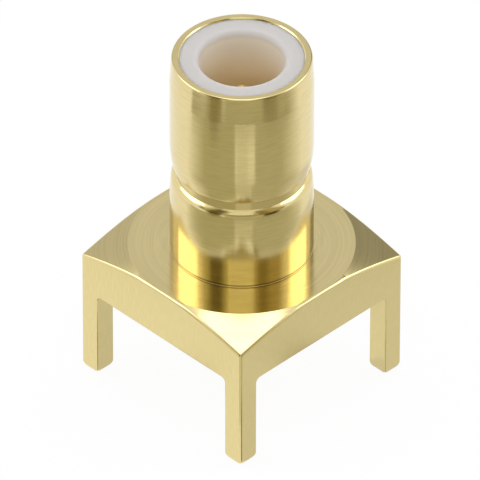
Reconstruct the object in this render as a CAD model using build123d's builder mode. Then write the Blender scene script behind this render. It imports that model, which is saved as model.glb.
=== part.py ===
"""A straight push-on coaxial jack for a circuit board, in millimetres.

The outer contact is one piece: a square bar whose upper end is turned to a barrel with a snap groove,
whose flange top is turned to a round land and a shallow cone, and whose lower end is milled away to
four corner legs. A plastic insulator fills the barrel, and a centre contact runs through it.

The origin is the centre of the face that sits on the board. +Z is the mating axis.
"""

from build123d import *
from math import radians, sqrt, tan
import os

# Square bar and flange
flange_side = 5.88
flange_thickness = 1.53
land_diameter = 5.90
cone_angle = 20.0
tumbled_radius = 0.07

# Board legs, left at the corners of the bar
leg_side = 0.59
leg_length = 2.63
leg_root_radius = 0.13
leg_end_radius = 0.18

# Barrel, from the land upwards
barrel_height = 6.07
mating_diameter = 3.71
rim_diameter = 3.62
lead_in_length = 0.76
rim_edge_radius = 0.05
rim_bore_chamfer = 0.03
foot_diameter = 3.73
foot_radius = 0.05

# Snap groove: its floor, the chamfer below it, the lip above it and the two curved flanks
groove_diameter = 3.40
groove_floor_height = 2.43
groove_floor_width = 0.22
groove_chamfer_width = 0.085
groove_chamfer_height = 0.065
groove_lip_radius = 0.07
lower_flank_length = 0.92
upper_flank_length = 0.70
upper_flank_fall = 0.065

# Bore of the barrel and the insulator in it
wall_at_rim = 0.20
shoulder_height = 0.95
neck_diameter = 2.60
insulator_clearance = 0.01
insulator_recess = 0.05
socket_diameter = 2.25
socket_depth = 4.20
socket_edge_radius = 0.06

# Centre contact
pin_diameter = 0.50
pin_below_rim = 0.88
pin_nose_radius = 0.20
collar_diameter = 0.94
collar_recess = 0.05
barb_height = 0.05
barb_length = 0.30
barb_land = 0.05
barb_below_collar_top = 2.00
contact_clearance = 0.01
tail_diameter = 0.50
tail_length = 2.60
tail_chamfer = 0.10

# Heights and radii that follow from the sizes above
land_z = flange_thickness
rim_z = land_z + barrel_height
bar_reach = flange_side / sqrt(2)

mating_r = mating_diameter / 2
rim_r = rim_diameter / 2
foot_r = foot_diameter / 2
groove_r = groove_diameter / 2
bore_r = rim_r - wall_at_rim
neck_r = neck_diameter / 2
socket_r = socket_diameter / 2

groove_floor_z = land_z + groove_floor_height
groove_lip_z = groove_floor_z + groove_floor_width
groove_chamfer_z = groove_floor_z - groove_chamfer_height
groove_chamfer_r = groove_r + groove_chamfer_width
lower_flank_z = groove_chamfer_z - lower_flank_length
upper_flank_r = mating_r - upper_flank_fall
upper_flank_bottom_z = groove_lip_z + groove_lip_radius
upper_flank_top_z = upper_flank_bottom_z + upper_flank_length
lead_in_z = rim_z - lead_in_length

insulator_top_z = rim_z - insulator_recess
socket_floor_z = rim_z - socket_depth
pin_tip_z = rim_z - pin_below_rim
pin_r = pin_diameter / 2
collar_r = collar_diameter / 2
barb_r = collar_r + barb_height
tail_r = tail_diameter / 2
collar_top_z = socket_floor_z
barb_z = collar_top_z - barb_below_collar_top


def is_leg_root(corner):
    """Whether a corner of the milled outline is where a leg's inner side meets the board face."""
    return abs(corner.Y) < leg_root_radius / 10 and abs(corner.X) < flange_side / 2 - leg_side / 2


def distance_from_axis(edge):
    """How far the middle of an edge lies from the mating axis."""
    return Vector(edge.center().X, edge.center().Y).length


# Outer contact: square bar, turned top, milled legs, turned barrel
with BuildPart() as body:
    with BuildSketch(Plane.XY.offset(-leg_length)):
        Rectangle(flange_side, flange_side)
    extrude(amount=leg_length + flange_thickness)

    # The lathe leaves a flat round land and a cone that falls towards the corners
    with BuildSketch(Plane.XZ):
        with BuildLine():
            cone_run = bar_reach - land_diameter / 2
            Polyline(
                (land_diameter / 2, land_z),
                (bar_reach, land_z - cone_run * tan(radians(cone_angle))),
                (bar_reach, land_z),
                close=True,
            )
        make_face()
    revolve(axis=Axis.Z, mode=Mode.SUBTRACT)

    # The same comb-shaped outline is milled from two sides, which leaves a leg at each corner
    for milling_plane in (Plane.XZ, Plane.YZ):
        with BuildSketch(milling_plane) as comb:
            with Locations((0, flange_thickness)):
                Rectangle(flange_side, 2 * flange_thickness)
            with GridLocations(flange_side - leg_side, 1, 2, 1):
                with Locations((0, -leg_length / 2)):
                    Rectangle(leg_side, leg_length)
            fillet(comb.vertices().filter_by(is_leg_root), leg_root_radius)
        extrude(amount=flange_side, both=True, mode=Mode.INTERSECT)

    # Tumbling rounds the legs' ends most, and the flange's top edges and the bar's corners less
    fillet(body.faces().group_by(Axis.Z)[0].edges(), leg_end_radius)
    sides = body.faces().group_by(Axis.X)[0] + body.faces().group_by(Axis.X)[-1]
    sides += body.faces().group_by(Axis.Y)[0] + body.faces().group_by(Axis.Y)[-1]
    top_edges = body.edges().filter_by(lambda edge: edge in sides.edges() and edge.center().Z > land_z / 2)
    bar_corners = body.edges().filter_by(Axis.Z).group_by(distance_from_axis)[-1]
    fillet(top_edges + bar_corners, tumbled_radius)

    # Barrel, turned in one setting with its foot, its snap groove and its lead-in
    with BuildSketch(Plane.XZ):
        with BuildLine():
            foot_corner = (foot_r + foot_radius, land_z)
            foot = RadiusArc(foot_corner, (foot_r, land_z + foot_radius), foot_radius)
            cylinder = Line(foot @ 1, (foot_r, lower_flank_z))
            flank = TangentArc(cylinder @ 1, (groove_chamfer_r, groove_chamfer_z), tangent=(0, 1))
            floor = Polyline(flank @ 1, (groove_r, groove_floor_z), (groove_r, groove_lip_z))
            lip = TangentArc(floor @ 1, (upper_flank_r, upper_flank_bottom_z), tangent=(1, 0))
            flank_top = (mating_r, upper_flank_top_z)
            TangentArc(flank_top, lip @ 1, tangent=(0, -1))
            Polyline(flank_top, (mating_r, lead_in_z), (rim_r, rim_z), (0, rim_z), (0, 0))
            Polyline((0, 0), (foot_r + foot_radius, 0), foot_corner)
        make_face()
    revolve(axis=Axis.Z)

    # Stepped bore for the insulator, with a softened rim
    with BuildSketch(Plane.XZ):
        with BuildLine():
            Polyline(
                (0, 0),
                (neck_r, 0),
                (neck_r, shoulder_height),
                (bore_r, shoulder_height),
                (bore_r, rim_z),
                (0, rim_z),
                close=True,
            )
        make_face()
    revolve(axis=Axis.Z, mode=Mode.SUBTRACT)
    rim = body.faces().sort_by(Axis.Z)[-1]
    fillet(rim.outer_wire().edges(), rim_edge_radius)
    chamfer(body.faces().sort_by(Axis.Z)[-1].inner_wires().edges(), rim_bore_chamfer)

# Insulator: pressed down on the shoulder, with the neck flush with the board face
with BuildPart() as insulator:
    with BuildSketch(Plane.XZ):
        with BuildLine():
            Polyline(
                (neck_r - insulator_clearance, 0),
                (neck_r - insulator_clearance, shoulder_height),
                (bore_r - insulator_clearance, shoulder_height),
                (bore_r - insulator_clearance, insulator_top_z),
                (socket_r, insulator_top_z),
                (socket_r, socket_floor_z),
                (collar_r + contact_clearance, socket_floor_z),
                (collar_r + contact_clearance, 0),
                close=True,
            )
        make_face()
    revolve(axis=Axis.Z)
    lip_edges = insulator.faces().sort_by(Axis.Z)[-1].edges()
    fillet(lip_edges.sort_by(SortBy.LENGTH)[0], socket_edge_radius)

    # Groove that the contact's barb has bitten into the bore
    with BuildSketch(Plane.XZ):
        with BuildLine():
            bite_r = barb_r + contact_clearance
            Polyline(
                (0, barb_z + contact_clearance),
                (bite_r, barb_z + contact_clearance),
                (bite_r, barb_z - barb_land),
                (collar_r + contact_clearance, barb_z - barb_length),
                (0, barb_z - barb_length),
                close=True,
            )
        make_face()
    revolve(axis=Axis.Z, mode=Mode.SUBTRACT)

# Centre contact: mating pin, barbed collar and solder tail, turned in one piece. The collar ends flush
# with the floor of the socket
with BuildPart() as centre_contact:
    with BuildSketch(Plane.XZ):
        with BuildLine():
            Polyline(
                (0, -tail_length),
                (tail_r - tail_chamfer, -tail_length),
                (tail_r, tail_chamfer - tail_length),
                (tail_r, collar_recess),
                (collar_r, collar_recess),
                (collar_r, barb_z - barb_length),
                (barb_r, barb_z - barb_land),
                (barb_r, barb_z),
                (collar_r, barb_z),
                (collar_r, collar_top_z),
                (pin_r, collar_top_z),
                (pin_r, pin_tip_z),
                (0, pin_tip_z),
                close=True,
            )
        make_face()
    revolve(axis=Axis.Z)
    fillet(centre_contact.faces().sort_by(Axis.Z)[-1].edges(), pin_nose_radius)

os.makedirs("parts", exist_ok=True)
body.part.label = "body"
export_step(body.part, "parts/body.step")
insulator.part.label = "insulator"
export_step(insulator.part, "parts/insulator.step")
centre_contact.part.label = "centre_contact"
export_step(centre_contact.part, "parts/centre_contact.step")
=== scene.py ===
# %% [markdown]
# # A push-on coaxial jack, lit as in a small-parts studio
# The jack is about 10 mm tall: a turned gold-plated barrel on a square flange with four legs, a white
# insulator in its mouth and a thin centre pin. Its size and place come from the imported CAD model, which is
# loaded first and stays as it is. Everything after it ends up in metres, in the same frame.

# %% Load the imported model
from math import asin, copysign, cos, degrees, hypot, pi, radians, sin, tan

import bmesh
import bpy
from mathutils import Matrix, Vector


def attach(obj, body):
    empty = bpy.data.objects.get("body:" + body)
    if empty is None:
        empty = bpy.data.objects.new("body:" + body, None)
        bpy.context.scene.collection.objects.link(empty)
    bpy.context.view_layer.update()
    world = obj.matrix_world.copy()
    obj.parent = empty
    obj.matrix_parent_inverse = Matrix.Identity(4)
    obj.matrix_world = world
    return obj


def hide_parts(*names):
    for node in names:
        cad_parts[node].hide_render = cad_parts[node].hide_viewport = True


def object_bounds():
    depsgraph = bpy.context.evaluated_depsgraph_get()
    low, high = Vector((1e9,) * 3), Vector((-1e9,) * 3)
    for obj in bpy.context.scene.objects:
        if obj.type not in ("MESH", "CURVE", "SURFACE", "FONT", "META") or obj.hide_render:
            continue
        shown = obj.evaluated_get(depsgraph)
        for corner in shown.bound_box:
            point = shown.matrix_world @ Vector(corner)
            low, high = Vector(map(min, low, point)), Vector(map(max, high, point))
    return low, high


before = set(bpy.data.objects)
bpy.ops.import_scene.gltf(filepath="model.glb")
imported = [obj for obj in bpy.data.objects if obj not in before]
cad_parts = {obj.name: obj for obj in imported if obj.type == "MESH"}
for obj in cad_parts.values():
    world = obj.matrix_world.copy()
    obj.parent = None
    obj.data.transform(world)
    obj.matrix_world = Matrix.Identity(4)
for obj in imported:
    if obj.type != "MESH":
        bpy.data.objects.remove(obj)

cad_box = [list(corner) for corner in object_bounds()]
print("CAD box, mm:", [[round(1000 * value, 2) for value in corner] for corner in cad_box])

# %% [markdown]
# ## Working in millimetres
# A part this small is easier to think about, and safer to model, in millimetres: some of Blender's mesh
# tools stop at gaps of a thousandth of a unit. So every size below is written in millimetres, each mesh is
# made in them, and it is scaled down once, when it becomes an object.

# %% Millimetres and sRGB colours
MM = 0.001


def linear(hex_colour):
    """An sRGB hex colour as the linear colour that Blender's sockets take."""
    channels = [int(hex_colour[i : i + 2], 16) / 255 for i in (1, 3, 5)]
    return [c / 12.92 if c <= 0.04045 else ((c + 0.055) / 1.055) ** 2.4 for c in channels] + [1.0]


def darker(hex_colour, share):
    """The same as a linear colour, with only a share of its light."""
    return [c * share for c in linear(hex_colour)[:3]] + [1.0]


print("mid grey is", round(linear("#808080")[0], 3), "in linear light")

# %% [markdown]
# ## The camera
# A very long lens, close to parallel: the photograph's edges hardly converge. Its height, turn and distance
# were fitted to the outlines of the flange, the legs and the barrel. It looks down by 38.7 degrees, with a
# corner of the flange to the front. The mating axis meets the flange's top a little right of and above the
# middle of the picture, so the point that the camera aims at is moved by that much.

# %% Camera
camera_elevation = radians(38.73)
camera_turn = radians(44.73)
camera_roll = radians(0.1)
camera_distance = 339.3
field_of_view = radians(2.095)
sensor_width = 36
aim_height = 1.53
aim_left = 0.0424
aim_up = 0.0491

away = Vector((sin(camera_turn), cos(camera_turn), 0))
right = Vector((away.y, -away.x, 0))
looking = away * cos(camera_elevation) - Vector((0, 0, sin(camera_elevation)))
picture_up = right.cross(looking)
aim = Vector((0, 0, aim_height)) - right * aim_left + picture_up * aim_up

camera_data = bpy.data.cameras.new("camera")
camera_data.sensor_width = sensor_width
camera_data.lens = sensor_width / 2 / tan(field_of_view / 2)
camera_data.clip_start = 0.01
camera_data.clip_end = 10
camera = bpy.data.objects.new("camera", camera_data)
bpy.context.scene.collection.objects.link(camera)
level_axes = Matrix((right, picture_up, -looking)).transposed().to_4x4()
place = Matrix.Translation((aim - looking * camera_distance) * MM)
camera.matrix_world = place @ level_axes @ Matrix.Rotation(camera_roll, 4, "Z")
bpy.context.scene.camera = camera
print("lens:", round(camera_data.lens), "mm, at", [round(v, 3) for v in camera.location], "m")

# %% [markdown]
# ## Nodes in one line
# A material is a small graph of nodes. One function adds a node, fills in its settings and its sockets, and
# makes its links: a value that is another node's output is linked, and any other value is written on the
# socket.

# %% Node helper
def add_node(tree, kind, inputs=None, **settings):
    """Adds a node. `inputs` gives its sockets by name or number, as values or as outputs to link."""
    node = tree.nodes.new(kind)
    for name, value in settings.items():
        setattr(node, name, value)
    for name, value in (inputs or {}).items():
        if isinstance(value, bpy.types.NodeSocket):
            tree.links.new(value, node.inputs[name])
        else:
            node.inputs[name].default_value = value
    return node


def new_material(name):
    """An empty node material and its tree."""
    material = bpy.data.materials.new(name)
    material.use_nodes = True
    material.node_tree.nodes.clear()
    return material, material.node_tree


# %% [markdown]
# ## The studio: a white table in a light tent
# Gold plate shows its surroundings, so most of this picture is made here. The table and the tent are white
# to the camera and in reflections. The light path node does that: the camera, glossy and transmission rays
# see white, and the rays that light the part see the table's own matt surface, which also takes the shadow.
# The table's white is a little short of full, so that the soft shadow still shows on it.

# %% Rays that see white
def rays_that_see_white(tree):
    """1 for camera, glossy and transmission rays, and 0 for the rays that light matt surfaces."""
    path = add_node(tree, "ShaderNodeLightPath")
    seen = path.outputs["Is Camera Ray"]
    for ray in ("Is Glossy Ray", "Is Transmission Ray"):
        larger = add_node(
            tree,
            "ShaderNodeMath",
            {0: seen, 1: path.outputs[ray]},
            operation="MAXIMUM",
        )
        seen = larger.outputs[0]
    return seen


# %% [markdown]
# The table lies a hair below the ends of the legs, so that it never shares a plane with them.

# %% White table
table_gap = 0.01
table_radius = 260
table_shine = 0.94

table_height = cad_box[0][2] - table_gap * MM
table_material, tree = new_material("white_table")
share = add_node(
    tree,
    "ShaderNodeMath",
    {0: rays_that_see_white(tree), 1: table_shine},
    operation="MULTIPLY",
)
matt = add_node(tree, "ShaderNodeBsdfDiffuse", {"Color": linear("#F6F6F6")})
white = add_node(tree, "ShaderNodeEmission", {"Color": linear("#FFFFFF"), "Strength": 1.0})
mixed = add_node(
    tree,
    "ShaderNodeMixShader",
    {0: share.outputs[0], 1: matt.outputs[0], 2: white.outputs[0]},
)
add_node(tree, "ShaderNodeOutputMaterial", {"Surface": mixed.outputs[0]})

table_mesh = bpy.data.meshes.new("table")
bm = bmesh.new()
bmesh.ops.create_circle(bm, cap_ends=True, segments=96, radius=table_radius * MM)
bm.to_mesh(table_mesh)
bm.free()
table = bpy.data.objects.new("table", table_mesh)
table.location.z = table_height
table_mesh.materials.append(table_material)
bpy.context.scene.collection.objects.link(table)
print("table at", round(table_height / MM, 2), "mm")

# %% White tent
tent_light = 0.77

world = bpy.data.worlds.new("light_tent")
bpy.context.scene.world = world
world.use_nodes = True
tree = world.node_tree
tree.nodes.clear()
strength = add_node(
    tree,
    "ShaderNodeMapRange",
    {"Value": rays_that_see_white(tree), "To Min": tent_light, "To Max": 1.0},
)
tent = add_node(
    tree,
    "ShaderNodeBackground",
    {"Color": linear("#FFFFFF"), "Strength": strength.outputs[0]},
)
add_node(tree, "ShaderNodeOutputWorld", {"Surface": tent.outputs[0]})
print("tent lights matt surfaces at", tent_light)

# %% [markdown]
# ## Four softboxes
# A softbox is a large, evenly lit rectangle. It gives metal a soft patch of light, where a small lamp would
# leave a hard spot. One hangs almost overhead, a little behind the jack, and lights the flange's top and
# the rim. One stands on each side and one in front. Azimuth 0 is on the camera's side and 90 on its right.

# %% Softboxes
def direction(azimuth, elevation):
    """A unit vector from the jack, with the azimuth counted from the camera's side to its right."""
    turn = radians(azimuth)
    level = right * sin(turn) - away * cos(turn)
    return level * cos(radians(elevation)) + Vector((0, 0, sin(radians(elevation))))


def softbox(name, azimuth, elevation, distance, width, height, brightness):
    """A rectangular lamp that faces the jack. A brightness of 1 is a white surface in full light."""
    lamp = bpy.data.lights.new(name, "AREA")
    lamp.shape = "RECTANGLE"
    lamp.size = width * MM
    lamp.size_y = height * MM
    lamp.energy = brightness * pi * width * height * MM * MM
    box = bpy.data.objects.new(name, lamp)
    facing = direction(azimuth, elevation)
    box.location = facing * distance * MM
    box.rotation_euler = facing.to_track_quat("Z", "Y").to_euler()
    bpy.context.scene.collection.objects.link(box)
    return box


softboxes = [
    softbox("overhead_softbox", 180, 79, distance=240, width=100, height=100, brightness=1.6),
    softbox("left_softbox", -98, 40, distance=240, width=150, height=110, brightness=1.9),
    softbox("right_softbox", 104, 40, distance=240, width=140, height=110, brightness=1.9),
    softbox("front_softbox", -1, 40, distance=300, width=214, height=100, brightness=1.45),
]
print("softboxes:", [box.name for box in softboxes])

# %% [markdown]
# ## Cards
# A photographer gives bright metal its bands with cards, and they make the dark and pale patches here too.
# A picture of a studio, wrapped round the scene, could do the same, but cards can be moved one by one. Each
# is plain, in one colour. Only reflections see it, so it throws no shadow and never shows in a picture. It
# fades out towards its two ends, like gauze, which keeps the edge of its reflection soft.

# %% How a card looks
def card_material(name, colour):
    """The even, matt face of a card, as bright in a reflection as its colour is written. It fades out where
    the card's own cover value falls, and its back isn't seen."""
    material, tree = new_material(name)
    cover = add_node(tree, "ShaderNodeAttribute", attribute_name="cover")
    side = add_node(tree, "ShaderNodeNewGeometry")
    facing = add_node(
        tree,
        "ShaderNodeMath",
        {0: 1.0, 1: side.outputs["Backfacing"]},
        operation="SUBTRACT",
    )
    share = add_node(
        tree,
        "ShaderNodeMath",
        {0: cover.outputs["Fac"], 1: facing.outputs[0]},
        operation="MULTIPLY",
    )
    face = add_node(tree, "ShaderNodeEmission", {"Color": linear(colour), "Strength": 1.0})
    clear = add_node(tree, "ShaderNodeBsdfTransparent")
    mixed = add_node(
        tree,
        "ShaderNodeMixShader",
        {0: share.outputs[0], 1: clear.outputs[0], 2: face.outputs[0]},
    )
    add_node(tree, "ShaderNodeOutputMaterial", {"Surface": mixed.outputs[0]})
    return material


# %% [markdown]
# The camera looks down, so the upright barrel reflects the table. A ray that meets the barrel at some
# azimuth leaves it at twice that azimuth and runs straight on. A flat card is a fan of such lines: its two
# ends come out as upright edges on the barrel, and its two distances as heights.

# %% Where a flat card lies
half_side = 2.94
barrel_radius = 1.86


def clear_of_flange(azimuth, gap=0.3):
    """How far along a reflected ray the flange's side and a gap beside it are passed."""
    to_side = radians(45 - abs(azimuth))
    start = barrel_radius * cos(radians(45 - abs(azimuth) / 2))
    return (half_side + gap - start) / cos(to_side)


def flat_line(azimuth, flat, start, height):
    """The two ends of a flat card at an azimuth, along the ray from a start or, without one, the barrel."""
    base = direction(azimuth / 2, 0) * barrel_radius if start is None else start
    near = clear_of_flange(azimuth) if flat[0] is None else flat[0]
    level = Vector((0, 0, height))
    return [base + level + direction(azimuth, 0) * reach for reach in (near, flat[1])]


# %% [markdown]
# Each flat card lies a hair above the one before it, and each standing card a hair nearer, so where two
# overlap the later one is seen.

# %% Making a card
standing_distance = 180
card_lift = 0.005
card_steps = 30
sharpest_fade = 0.01

cards = []


def card(name, azimuths, colour, flat=None, standing=None, start=None, height=None, fades=(3, 3)):
    """A bent card round the jack. A `flat` one lies on the table, or at a height, between two distances
    along the reflected rays. With None as its first distance it begins just outside the flange. A
    `standing` one reaches between two elevations. `fades` are the degrees over which its ends fade."""
    number = len(cards) + 1
    first, last = azimuths
    stops = [first, first + fades[0], last - fades[1], last]
    even_steps = [first + (last - first) * step / card_steps for step in range(card_steps + 1)]
    points = []
    covers = []
    for azimuth in sorted(set(stops + even_steps)):
        if flat:
            level = table_height / MM if height is None else height
            ends = flat_line(azimuth, flat, start, level + card_lift * number)
        else:
            ends = [direction(azimuth, elevation) * (standing_distance - number) for elevation in standing]
        points += [end * MM for end in ends]
        rise = (azimuth - first) / max(fades[0], sharpest_fade)
        fall = (last - azimuth) / max(fades[1], sharpest_fade)
        covers += [max(0, min(1, rise, fall))] * 2
    faces = [(i, i + 1, i + 3, i + 2) for i in range(0, len(points) - 2, 2)]
    mesh = bpy.data.meshes.new(name)
    mesh.from_pydata(points, [], faces)
    mesh.attributes.new("cover", "FLOAT", "POINT").data.foreach_set("value", covers)
    mesh.materials.append(card_material(name, colour))
    made = bpy.data.objects.new(name, mesh)
    made.visible_camera = False
    made.visible_diffuse = False
    made.visible_transmission = False
    made.visible_shadow = False
    bpy.context.scene.collection.objects.link(made)
    cards.append(made)


# %% [markdown]
# ### Cards near the jack
# The nearest ones lie where the sides of the flange and the legs look. Olive ones fan out from the flange's
# front corner and from the legs' edges, and draw thin dark lines along those rounded edges. The front one
# is seen just above the groove.

# %% Cards near the jack
axis = Vector((0, 0, 0))
corner_reach = 4.10
leg_edge_reach = 3.74
leg_edge_forward = 0.38
front_corner = direction(0, 0) * corner_reach
left_leg_edge = direction(-90, 0) * leg_edge_reach + direction(0, 0) * leg_edge_forward
right_leg_edge = direction(90, 0) * leg_edge_reach + direction(0, 0) * leg_edge_forward

card("under_left", (-180, 0), "#DADADA", flat=(0, 3.6), start=axis, fades=(0, 0))
card("under_right", (0, 180), "#F0F0F0", flat=(0, 3.6), start=axis, fades=(0, 0))
card("front_right_table", (2, 46), "#DFDFDF", flat=(3.6, 8.2), start=axis, fades=(1, 4))
card("right_table", (42, 150), "#E2E2E2", flat=(3.0, 9.3), start=axis, fades=(4, 20))
card("left_leg_line", (-4, 34), "#857848", flat=(0, 2.6), start=left_leg_edge, fades=(3, 16))
card("right_leg_line", (-4, 34), "#857848", flat=(0, 2.5), start=right_leg_edge, fades=(3, 16))
card("front_near", (-28, 28), "#DAD8CA", flat=(3.9, 7.0), fades=(4, 4))
card("front_line", (11, 64), "#7A6D3E", flat=(0, 5.2), start=front_corner, fades=(3, 34))
print("cards near the jack:", len(cards))

# %% [markdown]
# ### Cards for the cylinder and the lead-in
# From near to far they fill the upper barrel: the mating cylinder with its bright streak to the front, and
# the lead-in cone, which leans back a little and so sees farther out.

# %% Cards on the table
card("left_band", (-98, -9), "#BAB89D", flat=(7.0, 12.2), fades=(36, 3))
card("right_band", (19, 112), "#BDBBA6", flat=(7.0, 12.2), fades=(3, 46))
card("front_band", (-11, 21), "#E4E4D8", flat=(7.0, 12.2), fades=(4, 4))
card("front_low_band", (-11, 21), "#BDBAA4", flat=(7.4, 9.2), fades=(4, 4))
card("front_left_gleam", (-12, -1), "#F8F8F0", flat=(4.9, 7.2), fades=(3, 5))
card("front_right_gleam", (4, 21), "#F8F8F0", flat=(4.9, 7.2), fades=(5, 4))
card("front_high_gleam", (7, 21), "#F8F8F0", flat=(9.2, 11.0), fades=(5, 4))
card("far_band", (-87, 102), "#AEAB91", flat=(12.2, 16.5), fades=(3, 26))
card("left_far_dark", (-62, -27), "#968B65", flat=(14.6, 16.5), fades=(14, 12))
card("right_far_dark", (34, 66), "#B8B49A", flat=(14.8, 16.5), fades=(5, 6))

# %% [markdown]
# ### Raised cards
# Two small dark ones hang over the table where only the lower flank's rays pass, and darken it just under
# the groove. The horizon cards lie on the table again, out beyond the lead-in's, for the rounded edges. The
# apron lies beside the flange, almost as high as its top, and is seen by both flanks of the groove.

# %% Raised and far cards
spot_height = -0.55
apron_height = 1.2

card("left_spot", (-55, -34), "#5A4E2E", flat=(9.2, 10.4), height=spot_height, fades=(7, 9))
card("right_spot", (36, 60), "#7A6F4A", flat=(10.2, 11.0), height=spot_height, fades=(5, 8))
card("horizon_band", (-30, 100), "#C4C1AD", flat=(16.5, 250), fades=(6, 40))
card("left_horizon_dark", (-60, -28), "#8C815C", flat=(16.5, 250), fades=(12, 6))
card("right_horizon_dark", (30, 62), "#5C5234", flat=(16.5, 250), fades=(6, 10))
card("left_apron", (-98, -9), "#B8B69B", flat=(None, 4.3), height=apron_height, fades=(36, 3))
card("right_apron", (13, 112), "#BDBBA6", flat=(None, 4.3), height=apron_height, fades=(5, 46))
card("front_apron", (-12, 19), "#D2D0BE", flat=(None, 4.3), height=apron_height, fades=(4, 5))

# %% [markdown]
# ### Standing cards
# The lowest part of the barrel sees the flange's faced top, which mirrors what stands round the jack. The
# groove's chamfer and the rounded edges see the same cards directly.

# %% Standing cards
card("front_standing", (-28, 30), "#A8A48C", standing=(-0.8, 27), fades=(5, 5))
card("left_standing", (-67, -19), "#BDBC96", standing=(3, 62), fades=(9, 3))
card("left_standing_dark", (-55, -26), "#6E6340", standing=(3, 62), fades=(7, 7))
card("right_standing", (18, 72), "#B6AA81", standing=(3, 62), fades=(4, 10))
card("right_standing_dark", (25, 48), "#8E8354", standing=(3, 62), fades=(3, 10))
card("front_high_card", (-24, 28), "#F2F2E8", standing=(27, 75), fades=(6, 6))
card("left_low_dark", (-56, -30), "#2E2613", standing=(-0.8, 27), fades=(8, 5))
card("right_low_dark", (30, 60), "#221B0B", standing=(-0.8, 27), fades=(5, 8))
card("left_edge_card", (-68, -52), "#4A4122", standing=(8, 31), fades=(3, 4))
card("right_edge_card", (52, 68), "#4A4122", standing=(8, 31), fades=(4, 3))
card("back_card", (160, 205), "#DFDFE2", standing=(16, 58), fades=(8, 8))
card("back_left_card", (-171, -138), "#CECECE", standing=(8, 52), fades=(6, 6))
card("back_right_card", (138, 171), "#A0A09C", standing=(8, 52), fades=(6, 6))
print("cards in all:", len(cards))

# %% [markdown]
# ## Patterns that follow the tool
# A lathe leaves rings. On the barrel they lie one above the other and on the flange they lie one round the
# other, so a pattern that depends only on the distance from the axis and on the height draws both. A little
# of the turn round the axis is mixed in, and breaks the rings up into long marks. Cutting rings this fine
# into the mesh would take far more faces, so a bump in the material tilts the light instead.

# %% Pattern helpers
def position(tree):
    """The point's place on the part, in metres."""
    return add_node(tree, "ShaderNodeTexCoord").outputs["Object"]


def ring_space(tree, around):
    """Distance from the axis, height and turn round the axis as one vector, in metres. `around` is how many
    millimetres a full turn counts, so a small value draws long marks round the axis."""
    split = add_node(tree, "ShaderNodeSeparateXYZ", {0: position(tree)})
    squares = [
        add_node(tree, "ShaderNodeMath", {0: split.outputs[axis_name], 1: 2.0}, operation="POWER")
        for axis_name in ("X", "Y")
    ]
    total = add_node(
        tree,
        "ShaderNodeMath",
        {0: squares[0].outputs[0], 1: squares[1].outputs[0]},
        operation="ADD",
    )
    radius = add_node(tree, "ShaderNodeMath", {0: total.outputs[0]}, operation="SQRT")
    turn = add_node(
        tree,
        "ShaderNodeMath",
        {0: split.outputs["Y"], 1: split.outputs["X"]},
        operation="ARCTAN2",
    )
    length = add_node(
        tree,
        "ShaderNodeMath",
        {0: turn.outputs[0], 1: around * MM / (2 * pi)},
        operation="MULTIPLY",
    )
    return add_node(
        tree,
        "ShaderNodeCombineXYZ",
        {"X": radius.outputs[0], "Y": split.outputs["Z"], "Z": length.outputs[0]},
    ).outputs[0]


def per_metre(millimetres):
    """Noise scale, in cycles per metre, of a pattern that repeats every so many millimetres."""
    return 1 / (millimetres * MM)


# %% [markdown]
# Blender's noise seldom leaves the middle of its range, so what it drives is stretched from there.

# %% Bands and the range of a noise
noise_low = 0.3
noise_high = 0.7
band_core = 0.7


def noise_range(value, low, high):
    """Inputs of a map range node that takes a noise to a low and a high value."""
    return {"Value": value, "From Min": noise_low, "From Max": noise_high, "To Min": low, "To Max": high}


def band(tree, value, centre, half_width):
    """1 within a band of heights and 0 outside it, with soft edges. The value itself is in metres."""
    offset = add_node(tree, "ShaderNodeMath", {0: value, 1: centre * MM}, operation="SUBTRACT")
    distance = add_node(tree, "ShaderNodeMath", {0: offset.outputs[0]}, operation="ABSOLUTE")
    return add_node(
        tree,
        "ShaderNodeMapRange",
        {
            "Value": distance.outputs[0],
            "From Min": half_width * MM * band_core,
            "From Max": half_width * MM,
            "To Min": 1.0,
            "To Max": 0.0,
        },
    ).outputs[0]


# %% [markdown]
# ## Turned gold plate over brass
# The whole outer contact is one piece of brass with a hard gold plating. Gold is a metal, so it is fully
# metallic and keeps the default IOR. Its pale, slightly green yellow is the base colour, and what makes it
# look turned is the way its fine marks spread a reflection. Plating follows the marks of the tool below it,
# so it isn't polished smooth.
#
# The rings left by the tool are about 0.03 mm apart, near one pixel here, so they are drawn a little
# coarser, at 0.05 mm, with a few deeper ones among them. The anisotropy spreads reflections up and down
# the barrel, across the rings, as fine turning does. Shorter marks tint the gold a little, and give the
# barrel its brushed look where the reflection is even.

# %% Turned gold plate
ring_dash = 0.3
broad_rings = 6
broad_share = 0.45
polished = 0.85
worn = 1.2
mark_tone = 0.90


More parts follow.
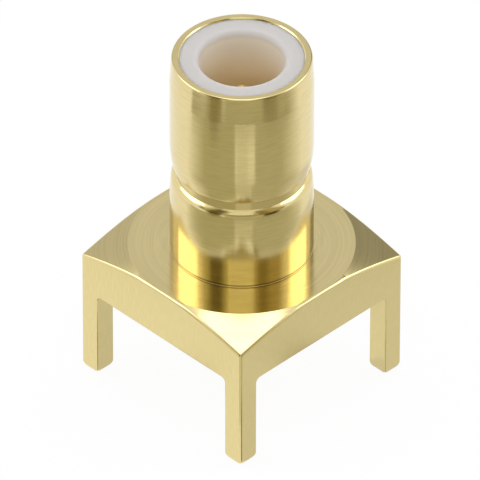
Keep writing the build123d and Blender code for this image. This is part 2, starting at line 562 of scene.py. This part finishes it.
def turned_gold(name, colour, roughness, anisotropy, ring_pitch, ring_depth, dash=ring_dash, corners=()):
    """Gold-plated brass, turned: rings that follow the tool, and a reflection spread across them. `dash` is
    as `around` is in the ring space, for the marks that tint it. `corners` are the heights of inner
    corners, with their half widths and tones, where a painted shade darkens the colour."""
    material, tree = new_material(name)
    rings = ring_space(tree, around=ring_dash)
    fine = add_node(
        tree,
        "ShaderNodeTexNoise",
        {"Vector": rings, "Scale": per_metre(ring_pitch), "Detail": 2.0, "Roughness": 0.6},
    )
    broad = add_node(
        tree,
        "ShaderNodeTexNoise",
        {"Vector": rings, "Scale": per_metre(ring_pitch * broad_rings), "Detail": 2.0},
    )
    height = add_node(
        tree,
        "ShaderNodeMix",
        {0: broad_share, 2: fine.outputs[0], 3: broad.outputs[0]},
    )
    marks = add_node(
        tree,
        "ShaderNodeBump",
        {"Height": height.outputs[0], "Strength": 1.0, "Distance": ring_depth * MM},
    )
    wear = add_node(
        tree,
        "ShaderNodeMapRange",
        noise_range(broad.outputs[0], roughness * polished, roughness * worn),
    )
    short_marks = add_node(
        tree,
        "ShaderNodeTexNoise",
        {"Vector": ring_space(tree, around=dash), "Scale": per_metre(ring_pitch), "Detail": 2.0},
    )
    tint = add_node(tree, "ShaderNodeMapRange", noise_range(short_marks.outputs[0], 0.0, 1.0))
    shade = add_node(
        tree,
        "ShaderNodeMix",
        {0: tint.outputs[0], 6: darker(colour, mark_tone), 7: linear(colour)},
        data_type="RGBA",
    )
    height_above_board = add_node(tree, "ShaderNodeSeparateXYZ", {0: position(tree)}).outputs["Z"]
    # Painted shade: the colour is darkened over each inner corner's band of heights.
    for centre, half_width, tone in corners:
        painted_shade_mask = band(tree, height_above_board, centre, half_width)
        shade = add_node(
            tree,
            "ShaderNodeMix",
            {0: painted_shade_mask, 6: shade.outputs[2], 7: linear(tone)},
            data_type="RGBA",
        )
    around_axis = add_node(tree, "ShaderNodeTangent", direction_type="RADIAL", axis="Z")
    gold = add_node(
        tree,
        "ShaderNodeBsdfPrincipled",
        {
            "Base Color": shade.outputs[2],
            "Metallic": 1.0,
            "Roughness": wear.outputs[0],
            "Anisotropic": anisotropy,
            "Anisotropic Rotation": 0.25,
            "Normal": marks.outputs[0],
            "Tangent": around_axis.outputs[0],
        },
    )
    add_node(tree, "ShaderNodeOutputMaterial", {"Surface": gold.outputs[0]})
    return material


# %% [markdown]
# The barrel, the faced top of the flange and the pin differ in how fine and how deep their rings are. The
# barrel's two inner corners, in the groove and at the foot, get a painted shade: a darker colour over a
# band of heights. Each is given as (height, half width, tone).

# %% The three turned finishes
# Painted shade in the groove and at the foot.
groove_painted_shade = (4.07, 0.13, "#DCC990")
foot_painted_shade = (1.562, 0.028, "#A8924F")

barrel_gold = turned_gold(
    "gold_plated_brass_turned",
    "#E8D69C",
    roughness=0.14,
    anisotropy=0.55,
    ring_pitch=0.05,
    ring_depth=0.0006,
    dash=1.2,
    corners=(groove_painted_shade, foot_painted_shade),
)
land_gold = turned_gold(
    "gold_plated_brass_faced",
    "#E8D69C",
    roughness=0.14,
    anisotropy=0.35,
    ring_pitch=0.05,
    ring_depth=0.0004,
)
pin_gold = turned_gold(
    "gold_plated_pin_turned",
    "#E9D08C",
    roughness=0.12,
    anisotropy=0.3,
    ring_pitch=0.04,
    ring_depth=0.0003,
)
print("turned gold:", barrel_gold.name, land_gold.name, pin_gold.name)

# %% [markdown]
# ## Milled gold plate
# The sides of the flange and the legs are milled, then tumbled: satin, with faint upright lines. A wave
# texture would draw them too evenly, so a noise stretched along Z does it: on each side it varies across
# the side and hardly with height. A grain over it breaks the lines up. Real lines are about 0.02 mm apart,
# less than a pixel here, so both are drawn at 0.06 mm.

# %% Milled gold plate
line_stretch = (1.0, 1.0, 0.2)
grain_share = 0.4
line_tone = 0.945


def milled_gold(name, colour, roughness, line_pitch, line_depth):
    """Gold-plated brass, milled and tumbled: satin with fine upright lines."""
    material, tree = new_material(name)
    stretched = add_node(
        tree,
        "ShaderNodeMapping",
        {"Vector": position(tree), "Scale": line_stretch},
    )
    lines = add_node(
        tree,
        "ShaderNodeTexNoise",
        {"Vector": stretched.outputs[0], "Scale": per_metre(line_pitch), "Detail": 3.0},
    )
    grain = add_node(
        tree,
        "ShaderNodeTexNoise",
        {"Vector": position(tree), "Scale": per_metre(line_pitch), "Detail": 2.0},
    )
    height = add_node(
        tree,
        "ShaderNodeMix",
        {0: grain_share, 2: lines.outputs[0], 3: grain.outputs[0]},
    )
    marks = add_node(
        tree,
        "ShaderNodeBump",
        {"Height": height.outputs[0], "Strength": 1.0, "Distance": line_depth * MM},
    )
    tint = add_node(tree, "ShaderNodeMapRange", noise_range(lines.outputs[0], 0.0, 1.0))
    shade = add_node(
        tree,
        "ShaderNodeMix",
        {0: tint.outputs[0], 6: darker(colour, line_tone), 7: linear(colour)},
        data_type="RGBA",
    )
    gold = add_node(
        tree,
        "ShaderNodeBsdfPrincipled",
        {
            "Base Color": shade.outputs[2],
            "Metallic": 1.0,
            "Roughness": roughness,
            "Normal": marks.outputs[0],
        },
    )
    add_node(tree, "ShaderNodeOutputMaterial", {"Surface": gold.outputs[0]})
    return material


flange_gold = milled_gold(
    "gold_plated_brass_milled",
    "#E9D79A",
    roughness=0.26,
    line_pitch=0.06,
    line_depth=0.0009,
)
print("milled gold:", flange_gold.name)

# %% [markdown]
# ## White fluoropolymer
# The insulator is turned PTFE: white, waxy and slightly see-through, so light goes a little way in before
# it comes back. A plain matt white would look like paint, so subsurface scattering is used. Its faint
# turning rings are drawn at 0.06 mm, coarser than real ones, so that they show. Light is painted into its
# colour in the socket: paler just under the lip, where the light falls in, and warmer some way down, where
# the light has passed between gold walls. Below the part that the photograph shows it is plain white.

# %% Turned PTFE
cloud_size = 0.5
cloud_tone = 0.96
turned_pitch = 0.06
turned_depth = 0.0006
turned_dash = 0.6
light_depth = 0.3


def turned_ptfe(name, colour, deeper_colours):
    """PTFE, turned: soft and waxy. A deeper colour is full at its low height and gone at its high one. Some
    of them are painted light.
    """
    material, tree = new_material(name)
    height_above_board = add_node(tree, "ShaderNodeSeparateXYZ", {0: position(tree)}).outputs["Z"]
    cloud = add_node(
        tree,
        "ShaderNodeTexNoise",
        {"Vector": position(tree), "Scale": per_metre(cloud_size), "Detail": 3.0},
    )
    shade = add_node(
        tree,
        "ShaderNodeMix",
        {0: cloud.outputs[0], 6: linear(colour), 7: darker(colour, cloud_tone)},
        data_type="RGBA",
    )
    # Painted light: some of these colours stand for light in the socket.
    for low_height, high_height, deeper_colour in deeper_colours:
        depth = add_node(
            tree,
            "ShaderNodeMapRange",
            {
                "Value": height_above_board,
                "From Min": low_height * MM,
                "From Max": high_height * MM,
                "To Min": 1.0,
                "To Max": 0.0,
            },
        )
        shade = add_node(
            tree,
            "ShaderNodeMix",
            {0: depth.outputs[0], 6: shade.outputs[2], 7: linear(deeper_colour)},
            data_type="RGBA",
        )
    rings = add_node(
        tree,
        "ShaderNodeTexNoise",
        {"Vector": ring_space(tree, around=turned_dash), "Scale": per_metre(turned_pitch), "Detail": 2.0},
    )
    marks = add_node(
        tree,
        "ShaderNodeBump",
        {"Height": rings.outputs[0], "Strength": 1.0, "Distance": turned_depth * MM},
    )
    plastic = add_node(
        tree,
        "ShaderNodeBsdfPrincipled",
        {
            "Base Color": shade.outputs[2],
            "Roughness": 0.42,
            "IOR": 1.36,
            "Subsurface Weight": 1.0,
            "Subsurface Radius": (1.0, 1.0, 1.0),
            "Subsurface Scale": light_depth * MM,
            "Normal": marks.outputs[0],
        },
    )
    add_node(tree, "ShaderNodeOutputMaterial", {"Surface": plastic.outputs[0]})
    return material


# Each is (low height, high height, colour). The lip's and the warm band's colours are painted light;
# the lowest is the plain white.
painted_lip_light = (7.30, 7.52, "#EAE2D4")
painted_gold_bounce = (5.90, 7.20, "#F7DFB2")
hidden_wall = (4.80, 5.70, "#F8F4EC")
ptfe = turned_ptfe("white_ptfe_turned", "#CAC7C5", (painted_lip_light, painted_gold_bounce, hidden_wall))
print("plastic:", ptfe.name)

# %% [markdown]
# ## Turning a profile
# The barrel, the insulator and the pin all come off a lathe, so each is a profile in the half plane beside
# the axis, spun round it. A screw modifier could spin it too, but the code below also gives the circles
# back, and the flange is joined to them. The profile's corners are rounded first, because even a sharp
# turned edge has a small radius that catches the light. Each point is given as (distance from axis, height,
# corner radius).

# %% Rounding a profile
degrees_per_step = 12


def rounded(profile, closed=False):
    """Replaces each corner that has a radius by points on an arc tangent to its two sides."""
    points = []
    count = len(profile)
    for index, (r, z, radius) in enumerate(profile):
        corner = Vector((r, z))
        if radius == 0 or (not closed and index in (0, count - 1)):
            points.append(tuple(corner))
            continue
        before = (Vector(profile[index - 1][:2]) - corner).normalized()
        after = (Vector(profile[(index + 1) % count][:2]) - corner).normalized()
        half = before.angle(after) / 2
        centre = corner + (before + after).normalized() * radius / sin(half)
        start = corner + before * radius / tan(half) - centre
        end = corner + after * radius / tan(half) - centre
        sweep = start.angle_signed(end)
        steps = max(2, round(abs(degrees(sweep)) / degrees_per_step))
        for step in range(steps + 1):
            turn = Matrix.Rotation(-sweep * step / steps, 2)
            points.append(tuple(centre + turn @ start))
    return points


def arc(centre, radius, first, last, steps):
    """Points of a long arc, by its angles in degrees, without a corner radius of their own."""
    angles = [radians(first + (last - first) * step / steps) for step in range(steps + 1)]
    return [(centre[0] + radius * cos(a), centre[1] + radius * sin(a), 0) for a in angles]


# %% Spinning a profile
columns = 256


def ring(bm, r, z):
    """One circle of points round the axis."""
    turns = [2 * pi * column / columns for column in range(columns)]
    return [bm.verts.new((r * cos(turn), r * sin(turn), z)) for turn in turns]


def skin(bm, lower, upper, material=0):
    """Joins two circles by a band of faces."""
    for column in range(columns):
        following = (column + 1) % columns
        face = bm.faces.new((lower[column], lower[following], upper[following], upper[column]))
        face.material_index = material
        face.smooth = True


def spin(bm, points, closed=False):
    """Spins a profile round the axis, and gives its circles back. A point on the axis closes the end."""
    circles = []
    for r, z in points:
        circles.append([bm.verts.new((0, 0, z))] if r == 0 else ring(bm, r, z))
    pairs = list(zip(circles, circles[1:]))
    if closed:
        pairs.append((circles[-1], circles[0]))
    for one, two in pairs:
        if len(one) == 1 or len(two) == 1:
            tip, rim = (one[0], two) if len(one) == 1 else (two[0], one)
            for column in range(columns):
                bm.faces.new((tip, rim[column], rim[(column + 1) % columns])).smooth = True
        else:
            skin(bm, one, two)
    return circles


# %% [markdown]
# ## From millimetres to an object
# A mesh may still need a bevel. Bevels are modifiers, so the mesh becomes an object first, the modifiers
# are worked out, and the result is scaled to metres. Weighted normals keep large flat faces flat in
# reflections, up to the very start of their rounded edges.

# %% Finishing a mesh
def finished_piece(name, bm, materials, bevel_width=0.0):
    """Makes a piece from a mesh in millimetres, with its bevels worked out."""
    bmesh.ops.recalc_face_normals(bm, faces=bm.faces)
    rough_mesh = bpy.data.meshes.new(name + "_mm")
    bm.to_mesh(rough_mesh)
    bm.free()
    draft = bpy.data.objects.new(name + "_mm", rough_mesh)
    bpy.context.scene.collection.objects.link(draft)
    if bevel_width:
        bevel = draft.modifiers.new("tumbled_edges", "BEVEL")
        bevel.limit_method = "WEIGHT"
        bevel.width = bevel_width
        bevel.segments = 5
        bevel.use_clamp_overlap = False
    smooth = draft.modifiers.new("flat_faces", "WEIGHTED_NORMAL")
    smooth.keep_sharp = True
    smooth.weight = 60
    bpy.context.view_layer.update()
    mesh = bpy.data.meshes.new_from_object(draft.evaluated_get(bpy.context.evaluated_depsgraph_get()))
    bpy.data.objects.remove(draft)
    mesh.name = name
    mesh.transform(Matrix.Scale(MM, 4))
    for material in materials:
        mesh.materials.append(material)
    piece = bpy.data.objects.new(name, mesh)
    bpy.context.scene.collection.objects.link(piece)
    print(name, "has", len(mesh.polygons), "faces")
    return piece


# %% [markdown]
# ## The outer contact: barrel
# The barrel rises from the flange through a small foot radius. Its groove, which the plug's spring fingers
# snap into, has a narrow flat floor with a chamfer below, a rounded lip above, and a long gentle curve on
# each side. Above it is the mating cylinder, then a slight cone that leads the plug on.

# %% Barrel sizes
flange_top = 1.53
rim_height = 7.60
foot_r = 1.865
mating_r = 1.855
rim_r = 1.81
bore_r = 1.61
neck_r = 1.30
shoulder_height = 0.95
groove_r = 1.70
groove_floor = 3.93
groove_lip = 4.18
groove_chamfer = (1.815, 3.845)
cylinder_end = 2.975
flank_start = (1.79, 4.25)
flank_end = 4.95
lead_in_start = 6.84
land_start = 2.215

sharp_corner = 0.012
chamfer_corner = 0.2
lead_in_corner = 0.3
rim_corner = 0.05
bore_corner = 0.01
bore_chamfer = 0.03
hidden_corner = 0.02
print("barrel:", round(rim_height - flange_top, 2), "mm tall,", 2 * mating_r, "mm across")

# %% [markdown]
# A curve drawn by eye would make the reflections waver. So each flank is an arc that leaves a straight line
# along it, and its radius follows from how far it goes and how far it has drifted sideways by then. The lip
# is drawn from just past the groove's inner corner.

# %% Barrel profile
lip_first_angle = -80


def tangent_radius(sideways, along):
    """Radius of an arc that leaves a line along it and has drifted sideways by so much."""
    return (sideways**2 + along**2) / (2 * sideways)


lower_radius = tangent_radius(foot_r - groove_chamfer[0], groove_chamfer[1] - cylinder_end)
lower_angle = degrees(asin((groove_chamfer[1] - cylinder_end) / lower_radius))
upper_radius = tangent_radius(mating_r - flank_start[0], flank_end - flank_start[1])
upper_angle = degrees(asin((flank_end - flank_start[1]) / upper_radius))
lip_radius = tangent_radius(flank_start[1] - groove_lip, flank_start[0] - groove_r)
lip_angle = degrees(asin((flank_start[0] - groove_r) / lip_radius))

lower_flank = arc((foot_r - lower_radius, cylinder_end), lower_radius, 0, lower_angle, steps=10)
lip = arc((groove_r, groove_lip + lip_radius), lip_radius, lip_first_angle, lip_angle - 90, steps=7)
upper_flank = arc((mating_r - upper_radius, flank_end), upper_radius, -upper_angle, 0, steps=8)

barrel_profile = [
    (land_start, flange_top, 0),
    (foot_r, flange_top, sharp_corner),
    *lower_flank[:-1],
    (*groove_chamfer, chamfer_corner),
    (groove_r, groove_floor, sharp_corner),
    (groove_r, groove_lip, sharp_corner),
    *lip,
    *upper_flank[1:],
    (mating_r, lead_in_start, lead_in_corner),
    (rim_r, rim_height, rim_corner),
    (bore_r + bore_chamfer, rim_height, bore_corner),
    (bore_r, rim_height - bore_chamfer, bore_corner),
    (bore_r, shoulder_height, hidden_corner),
    (neck_r, shoulder_height, hidden_corner),
    (neck_r, 0, 0),
]
barrel_points = rounded(barrel_profile)
print("barrel profile:", len(barrel_points), "points")
print("flank radii:", round(lower_radius, 2), "and", round(upper_radius, 2), "mm")

# %% [markdown]
# ## The outer contact: flange and legs
# The lathe faces the square bar to a flat round land and, outside it, to a cone that falls by 20 degrees,
# so each straight side ends in a low arch. A cutter then clears the space between the legs from two
# directions. Booleans could cut all that from a block, but they leave slivers that spoil a bevel. One side
# of the flange with its two half legs is a single flat, comb-shaped face, and the four sides are the same,
# so one is described and turned by quarter turns.

# %% Flange and leg sizes
land_r = 2.95
cone_fall = tan(radians(20))
leg_side = 0.59
leg_inside = half_side - leg_side
leg_bottom = -2.63
root_radius = 0.13
root_steps = 8


def faced_height(x, y):
    """Height of the faced top at a point: the flat land or the cone."""
    return flange_top - max(0.0, hypot(x, y) - land_r) * cone_fall


def quarter(turns, x, y, z):
    """A point turned by quarter turns round the axis."""
    for _ in range(turns):
        x, y = -y, x
    return (x, y, z)


def root_levels():
    """Heights and widths of a leg from its end up to the flange, with the concave root."""
    levels = [(leg_bottom, 0.0), (-root_radius, 0.0)]
    for step in range(1, root_steps + 1):
        angle = radians(90 * step / root_steps)
        levels.append((root_radius * (sin(angle) - 1), root_radius * (1 - cos(angle))))
    return levels


levels = root_levels()
print("leg root:", len(levels), "levels")
print("flange corner at", round(faced_height(half_side, half_side), 3), "mm")

# %% [markdown]
# The rings of the lathe work and the four sides meet along the flange's top edge. All points are made
# where they belong. The land is a trace wider than the bar, so at the middle of each side its rim is drawn
# a little inside the edge.

# %% Turned part and top of the outer contact
crease_margin = 0.12
underside_circle = 2.6

bm = bmesh.new()
circles = spin(bm, barrel_points)

boundary = []
crease = []
for column in range(columns):
    turn = 2 * pi * column / columns
    reach = half_side / max(abs(cos(turn)), abs(sin(turn)))
    x, y = reach * cos(turn), reach * sin(turn)
    boundary.append(bm.verts.new((x, y, faced_height(x, y))))
    inner = min(land_r, reach - crease_margin)
    crease.append(bm.verts.new((inner * cos(turn), inner * sin(turn), flange_top)))
skin(bm, circles[0], crease, material=1)
skin(bm, crease, boundary, material=1)

underside = ring(bm, underside_circle, 0)
skin(bm, circles[-1], underside, material=2)
print("turned faces:", len(bm.faces))

# %% [markdown]
# Each quarter turn adds one side face, the rest of the underside, and the two inner faces, the root and the
# end of one leg. The points that coincide are then welded, which leaves one closed surface.

# %% Milled sides and legs
weld_distance = 0.0005
eighth = columns // 8

for turns in range(4):
    start = turns * 2 * eighth
    top_edge = [boundary[(start + step) % columns].co for step in range(-eighth, eighth + 1)]
    right_half = [(-half_side, leg_bottom), (-leg_inside, leg_bottom)]
    right_half += [(fall - leg_inside, z) for z, fall in levels[1:]]
    left_half = [(-across, z) for across, z in reversed(right_half)]
    comb = [quarter(turns, half_side, across, z) for across, z in right_half + left_half]
    corners = [bm.verts.new(point) for point in comb + list(reversed(top_edge))]
    bm.faces.new(corners).material_index = 2

    arc_of_circle = [underside[(start + step) % columns] for step in range(-eighth, eighth + 1)]
    notch = leg_inside - root_radius
    outline = [(notch, notch), (half_side, notch), (half_side, -notch), (notch, -notch)]
    corners = [bm.verts.new(quarter(turns, x, y, 0)) for x, y in outline]
    bm.faces.new(arc_of_circle + corners).material_index = 2

    for (low, low_fall), (high, high_fall) in zip(levels, levels[1:]):
        a, b = leg_inside - low_fall, leg_inside - high_fall
        for mirrored in (False, True):
            strip = [(a, a, low), (a, half_side, low), (b, half_side, high), (b, b, high)]
            strip = [(y, x, z) if mirrored else (x, y, z) for x, y, z in strip]
            corners = [bm.verts.new(quarter(turns, *point)) for point in strip]
            face = bm.faces.new(corners)
            face.material_index = 2
            face.smooth = True
    leg_end = [
        (leg_inside, leg_inside),
        (half_side, leg_inside),
        (half_side, half_side),
        (leg_inside, half_side),
    ]
    corners = [bm.verts.new(quarter(turns, x, y, leg_bottom)) for x, y in leg_end]
    bm.faces.new(corners).material_index = 2

bmesh.ops.remove_doubles(bm, verts=bm.verts, dist=weld_distance)
print("outer contact, open edges:", sum(1 for edge in bm.edges if not edge.is_manifold))

# %% [markdown]
# Tumbling rounds the legs' ends most and the flange's edges less. Each edge gets a bevel weight, its own
# radius as a share of the largest. The inner edge of a leg fades out where it runs into the root.

# %% Which edges the tumbling rounds
tip_bevel = 0.20
bar_edge_bevel = 0.085
top_edge_bevel = 0.06
leg_edge_bevel = 0.045
same_place = 1e-4
above_underside = 0.5


def edge_rounding(edge):
    """Radius that the tumbling leaves on an edge of the flange or a leg, in millimetres."""
    (ax, ay, az), (bx, by, bz) = edge.verts[0].co, edge.verts[1].co
    on_x_side = abs(abs(ax) - half_side) < same_place and abs(abs(bx) - half_side) < same_place
    on_y_side = abs(abs(ay) - half_side) < same_place and abs(abs(by) - half_side) < same_place
    if max(az, bz) < leg_bottom + same_place:
        return tip_bevel
    if on_x_side and on_y_side:
        return bar_edge_bevel
    if on_x_side or on_y_side:
        return top_edge_bevel if min(az, bz) > above_underside else leg_edge_bevel
    on_diagonal = abs(abs(ax) - abs(ay)) < same_place and abs(abs(bx) - abs(by)) < same_place
    below_underside = max(az, bz) < same_place and min(az, bz) < -same_place
    past_notch = min(abs(ax), abs(bx)) - leg_inside + root_radius
    if on_diagonal and below_underside and past_notch > -same_place:
        return leg_edge_bevel * past_notch / root_radius
    return 0.0


weights = bm.edges.layers.float.new("bevel_weight_edge")
for edge in bm.edges:
    edge[weights] = edge_rounding(edge) / tip_bevel
    radii = [hypot(vert.co.x, vert.co.y) for vert in edge.verts]
    on_land_rim = all(abs(r - land_r) < same_place for r in radii)
    edge.smooth = not (on_land_rim and edge.verts[0].co.z > above_underside)

outer_contact = finished_piece(
    "outer_contact",
    bm,
    [barrel_gold, land_gold, flange_gold],
    bevel_width=tip_bevel,
)

# %% [markdown]
# A bevel leaves the four corners of a leg's end too square. So the points of each end are drawn in towards
# the leg's middle line where they stick out of a diamond, which gets smaller towards the very end.

# %% Rounder leg tips
tip_reach = 0.56
tip_reach_lost = 0.35


def round_leg_tips(mesh):
    """Draws in the corners of the legs' ends, and gives the number of points that moved."""
    leg_middle = half_side - leg_side / 2
    moved = 0
    for vertex in mesh.vertices:
        into_tip = (leg_bottom + tip_bevel - vertex.co.z / MM) / tip_bevel
        x, y = abs(vertex.co.x) / MM, abs(vertex.co.y) / MM
        corner_reach = abs(x - leg_middle) + abs(y - leg_middle)
        allowed = tip_reach - tip_reach_lost * into_tip**2
        if into_tip > 0 and corner_reach > allowed:
            shrink = allowed / corner_reach
            vertex.co.x = copysign((leg_middle + (x - leg_middle) * shrink) * MM, vertex.co.x)
            vertex.co.y = copysign((leg_middle + (y - leg_middle) * shrink) * MM, vertex.co.y)
            moved += 1
    return moved


print("leg tips, points drawn in:", round_leg_tips(outer_contact.data))

# %% [markdown]
# ## The insulator
# A turned sleeve, pressed down on the shoulder in the bore and a hair below the rim. The lip of its socket
# is rounded. Its neck fills the hole in the flange, flush with the board face. The contact's barb has
# bitten a small groove into its bore. The section is a closed loop, so it is spun whole, without end caps.

# %% Insulator mesh
insulator_r = 1.609
insulator_neck_r = 1.29
insulator_top = 7.565
socket_r = 1.105
socket_floor = 3.40
socket_lip = 0.15
contact_hole_r = 0.48
barb_top = 1.40
barb_land = 0.05
barb_length = 0.30
bite_r = 0.53
bite_top = 1.41

insulator_profile = [
    (contact_hole_r, 0, 0),
    (insulator_neck_r, 0, 0.02),
    (insulator_neck_r, shoulder_height, 0),
    (insulator_r, shoulder_height, 0.03),
    (insulator_r, insulator_top, 0.01),
    (socket_r, insulator_top, socket_lip),
    (socket_r, socket_floor, 0.03),
    (contact_hole_r, socket_floor, 0),
    (contact_hole_r, bite_top, 0),
    (bite_r, bite_top, 0),
    (bite_r, barb_top - barb_land, 0),
    (contact_hole_r, barb_top - barb_length, 0),
]
bm = bmesh.new()
spin(bm, rounded(insulator_profile, closed=True), closed=True)
insulator_sleeve = finished_piece("insulator_sleeve", bm, [ptfe])

# %% [markdown]
# ## The centre contact
# One turned pin from end to end: a round-nosed pin in the socket, a collar with a barb that holds it in the
# plastic, and a thin tail with a chamfer for the board. Its profile starts and ends on the axis, where a
# fan of triangles closes it.

# %% Centre contact mesh
pin_r = 0.25
pin_tip = 6.67
pin_nose = 0.24
collar_r = 0.47
collar_bottom = 0.05
barb_r = 0.52
tail_bottom = -2.60
tail_chamfer = 0.10

contact_profile = [
    (0, tail_bottom, 0),
    (pin_r - tail_chamfer, tail_bottom, 0.01),
    (pin_r, tail_bottom + tail_chamfer, 0.02),
    (pin_r, collar_bottom, 0),
    (collar_r, collar_bottom, 0.02),
    (collar_r, barb_top - barb_length, 0),
    (barb_r, barb_top - barb_land, 0),
    (barb_r, barb_top, 0),
    (collar_r, barb_top, 0),
    (collar_r, socket_floor, 0.02),
    (pin_r, socket_floor, 0),
    (pin_r, pin_tip, pin_nose),
    (0, pin_tip, 0),
]
bm = bmesh.new()
spin(bm, rounded(contact_profile))
centre_pin = finished_piece("centre_pin", bm, [pin_gold])

# %% [markdown]
# ## Standing in for the CAD nodes
# The jack has no moving part, so all pieces ride on its one body. Each stands for the node of the same part,
# which is hidden.

# %% Bodies, nodes and slots
for piece, node, slot in (
    (outer_contact, "body", "body"),
    (insulator_sleeve, "insulator", "insulator"),
    (centre_pin, "centre_contact", "contact"),
):
    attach(piece, "root")
    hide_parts(node)
    print(piece.name, "stands for", node)

# %% [markdown]
# ## Colours as written
# The Standard view transform shows a colour as it is written, with no film curve.

# %% View transform
bpy.context.scene.view_settings.view_transform = "Standard"
